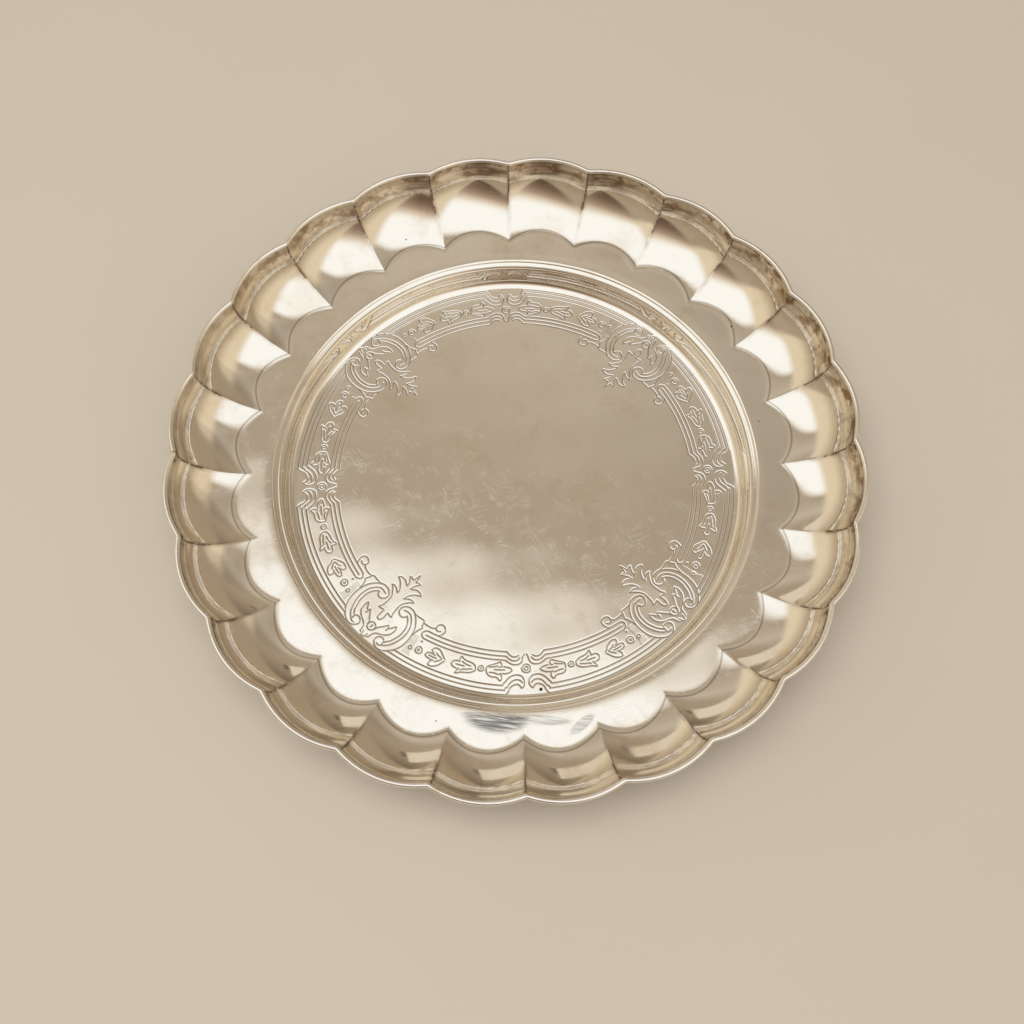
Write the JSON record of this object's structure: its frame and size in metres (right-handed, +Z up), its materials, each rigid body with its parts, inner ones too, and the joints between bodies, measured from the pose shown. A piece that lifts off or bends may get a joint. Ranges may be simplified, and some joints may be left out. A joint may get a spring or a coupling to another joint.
{
  "type": "card tray",
  "caption": "Round shallow metal tray with a sunken flat centre, a plain band and a fluted, scalloped border edged with round wire, for cards, keys and other small things.",
  "frame": {"origin": "centre of the flat underside that the tray stands on, at the bottom centre of its box", "axes": "+Z up, along the tray's axis; the notches between the flutes lie at every 15 degrees from +X, and the ends of the rim wire meet in the notch on -X"},
  "size_m": [0.179, 0.179, 0.0229],
  "materials": {
    "silver_plate": "polished silver plate, warm, lightly tarnished and scratched from use",
    "worn_solder": "solder with its plating worn through to a yellow-brown"
  },
  "bodies": {
    "root": {"dish": "silver_plate", "rim_wire": "silver_plate", "wire_joint": "worn_solder"}
  },
  "joints": []
}
